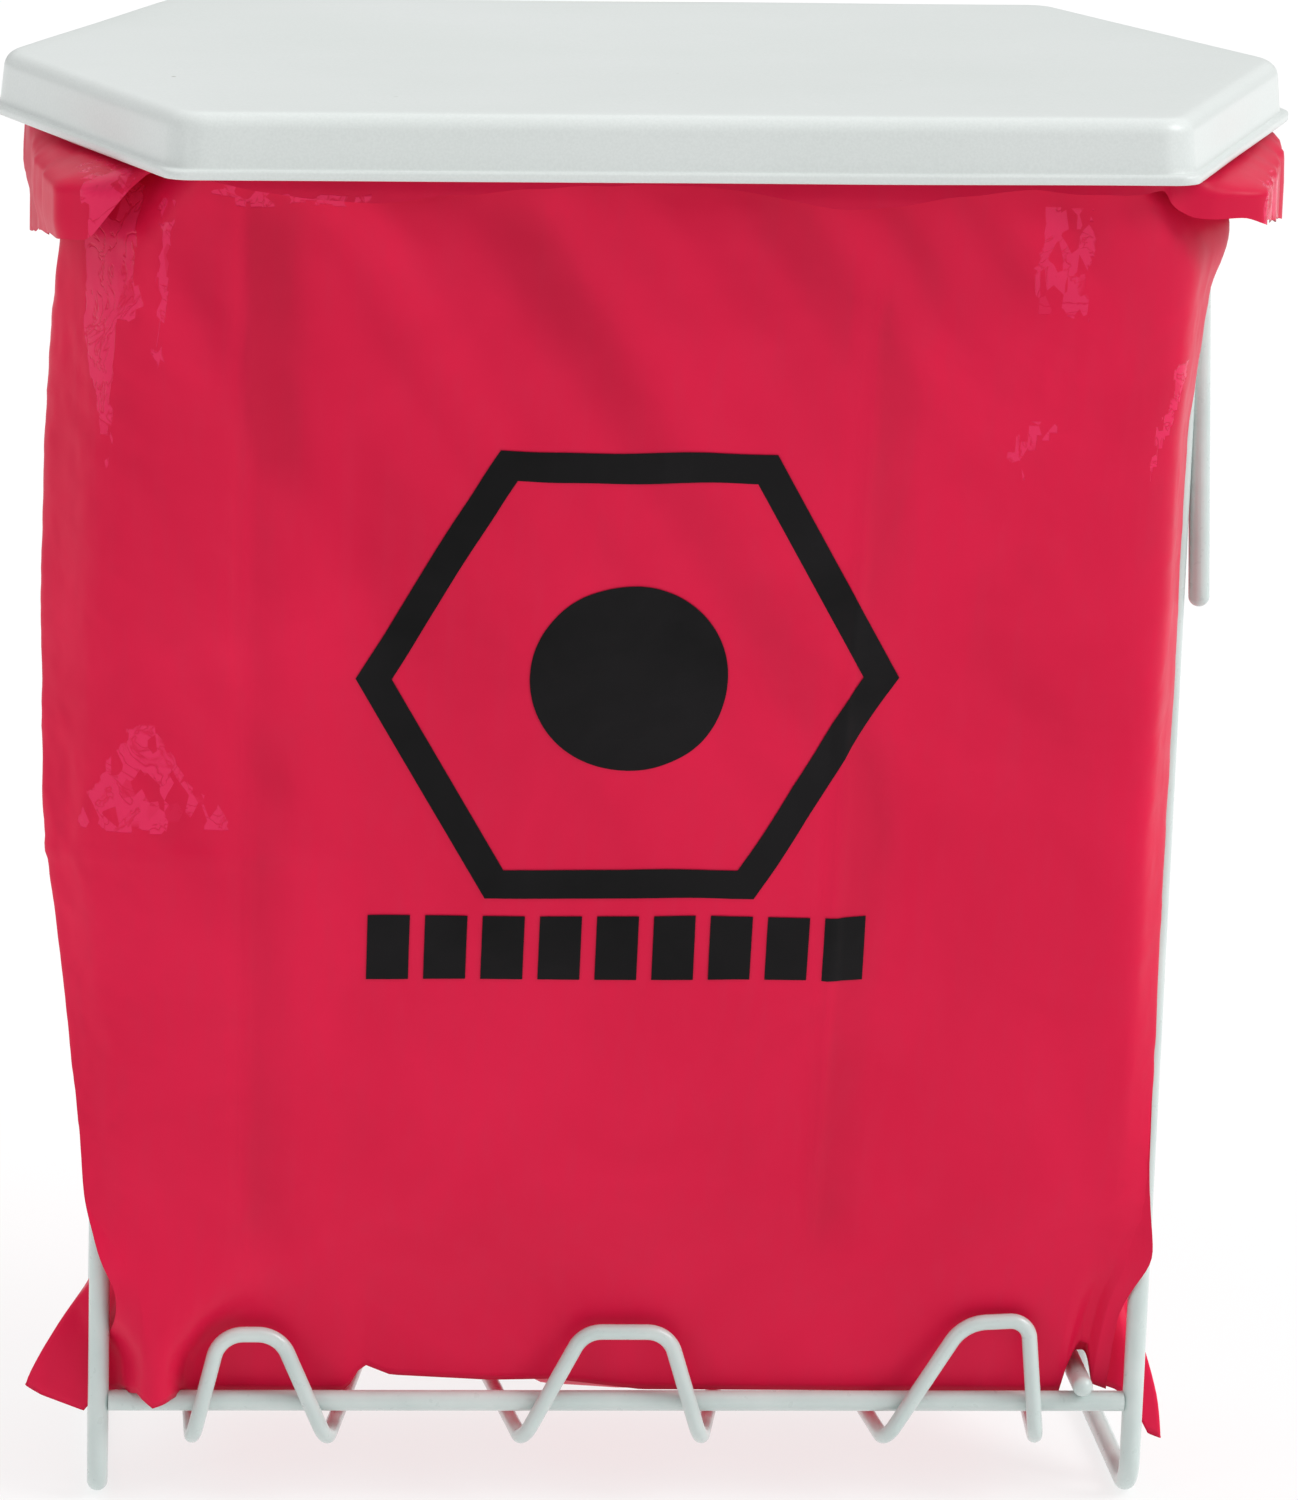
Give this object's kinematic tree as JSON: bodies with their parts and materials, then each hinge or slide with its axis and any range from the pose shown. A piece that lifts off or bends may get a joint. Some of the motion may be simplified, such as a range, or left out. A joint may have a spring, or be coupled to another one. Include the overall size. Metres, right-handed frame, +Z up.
{
  "type": "biohazard waste bin",
  "caption": "Bench-top waste bin: a coated wire stand holds a red film liner open under a hinged, elongated hexagonal white lid.",
  "frame": {"origin": "on the floor at the middle of the stand's four feet", "axes": "+Z up, front faces -Y, +X to the right of a viewer in front"},
  "size_m": [0.3904, 0.2883, 0.4406],
  "materials": {
    "lid_plastic": "moulded white plastic, satin, slightly greenish grey",
    "wire_coating": "thick white powder coat on steel wire",
    "liner_film": "thin crimson polyethylene film, creased, soft gloss",
    "clip_plastic": "moulded white plastic",
    "screw_steel": "zinc-plated steel",
    "pad_rubber": "soft dark grey rubber"
  },
  "bodies": {
    "stand": {"rim_ring": "wire_coating", "left_leg_hoop": "wire_coating", "right_leg_hoop": "wire_coating", "front_bar": "wire_coating", "rear_bar": "wire_coating", "left_floor_wire": "wire_coating", "right_floor_wire": "wire_coating", "left_bag_stop": "wire_coating", "middle_bag_stop": "wire_coating", "right_bag_stop": "wire_coating", "left_rim_stub": "wire_coating", "right_rim_stub": "wire_coating", "hinge_wire": "wire_coating", "liner_bag": "liner_film"},
    "lid": {"lid_shell": "lid_plastic", "left_hinge_clip": "clip_plastic", "right_hinge_clip": "clip_plastic", "hinge_clip_screws": "screw_steel", "lid_bumpers": "pad_rubber"}
  },
  "joints": [
    {"name": "lid_hinge", "type": "hinge", "parent": "stand", "child": "lid", "pos_m": [0, 0.1448, 0.4261], "axis": [-1, 0, 0], "range_deg": [0, 105]}
  ]
}
